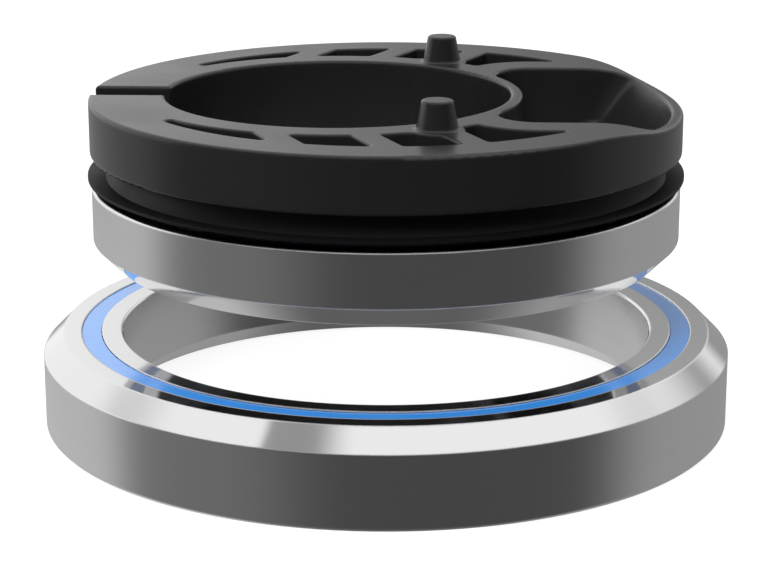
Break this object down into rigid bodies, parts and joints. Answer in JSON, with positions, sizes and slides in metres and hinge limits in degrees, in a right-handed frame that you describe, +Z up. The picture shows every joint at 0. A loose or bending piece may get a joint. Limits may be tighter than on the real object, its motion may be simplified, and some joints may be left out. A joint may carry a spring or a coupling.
{
  "type": "bicycle headset",
  "caption": "Bicycle headset with sealed angular contact bearings, a rubber lip seal and a split cable guide ring that has a hose port, slanted pockets and locating pins.",
  "frame": {"origin": "centre of the lower bearing's bottom face, on the steering axis", "axes": "+Z up the steering axis, +X to the cable port, the ring's split on the -X side"},
  "size_m": [0.052, 0.052, 0.0268],
  "materials": {
    "race_steel": "ground and polished bearing steel",
    "ball_steel": "lapped",
    "cage_plastic": "moulded nylon",
    "bearing_seal_rubber": "smooth blue rubber",
    "lip_rubber": "matt black rubber",
    "ring_plastic": "satin black, moulded"
  },
  "bodies": {
    "outer_races": {"lower_outer_race": "race_steel", "lower_top_seal": "bearing_seal_rubber", "lower_bottom_seal": "bearing_seal_rubber", "upper_outer_race": "race_steel", "upper_top_seal": "bearing_seal_rubber", "upper_bottom_seal": "bearing_seal_rubber"},
    "lower_inner": {"lower_inner_race": "race_steel"},
    "lower_rollers": {"lower_ball_cage": "cage_plastic", "lower_ball_01": "ball_steel", "lower_ball_02": "ball_steel", "lower_ball_03": "ball_steel", "lower_ball_04": "ball_steel", "lower_ball_05": "ball_steel", "lower_ball_06": "ball_steel", "lower_ball_07": "ball_steel", "lower_ball_08": "ball_steel", "lower_ball_09": "ball_steel", "lower_ball_10": "ball_steel", "lower_ball_11": "ball_steel", "lower_ball_12": "ball_steel", "lower_ball_13": "ball_steel", "lower_ball_14": "ball_steel", "lower_ball_15": "ball_steel", "lower_ball_16": "ball_steel", "lower_ball_17": "ball_steel", "lower_ball_18": "ball_steel", "lower_ball_19": "ball_steel", "lower_ball_20": "ball_steel", "lower_ball_21": "ball_steel", "lower_ball_22": "ball_steel", "lower_ball_23": "ball_steel", "lower_ball_24": "ball_steel"},
    "upper_inner": {"upper_inner_race": "race_steel", "cable_guide_ring": "ring_plastic", "lip_seal": "lip_rubber"},
    "upper_rollers": {"upper_ball_cage": "cage_plastic", "upper_ball_01": "ball_steel", "upper_ball_02": "ball_steel", "upper_ball_03": "ball_steel", "upper_ball_04": "ball_steel", "upper_ball_05": "ball_steel", "upper_ball_06": "ball_steel", "upper_ball_07": "ball_steel", "upper_ball_08": "ball_steel", "upper_ball_09": "ball_steel", "upper_ball_10": "ball_steel", "upper_ball_11": "ball_steel", "upper_ball_12": "ball_steel", "upper_ball_13": "ball_steel", "upper_ball_14": "ball_steel", "upper_ball_15": "ball_steel", "upper_ball_16": "ball_steel", "upper_ball_17": "ball_steel", "upper_ball_18": "ball_steel", "upper_ball_19": "ball_steel", "upper_ball_20": "ball_steel", "upper_ball_21": "ball_steel", "upper_ball_22": "ball_steel", "upper_ball_23": "ball_steel", "upper_ball_24": "ball_steel"}
  },
  "joints": [
    {"name": "lower_steer", "type": "hinge", "parent": "outer_races", "child": "lower_inner", "pos_m": [0, 0, 0.0035], "axis": [0, 0, 1], "continuous": true},
    {"name": "lower_rollers_turn", "type": "hinge", "parent": "outer_races", "child": "lower_rollers", "pos_m": [0, 0, 0.0035], "axis": [0, 0, 1], "continuous": true},
    {"name": "upper_steer", "type": "hinge", "parent": "outer_races", "child": "upper_inner", "pos_m": [0, 0, 0.01552], "axis": [0, 0, 1], "continuous": true},
    {"name": "upper_rollers_turn", "type": "hinge", "parent": "outer_races", "child": "upper_rollers", "pos_m": [0, 0, 0.01552], "axis": [0, 0, 1], "continuous": true}
  ],
  "couplings": [
    {"joint": "lower_rollers_turn", "follows": "lower_steer", "ratio": 0.4756},
    {"joint": "upper_rollers_turn", "follows": "upper_steer", "ratio": 0.47869}
  ]
}
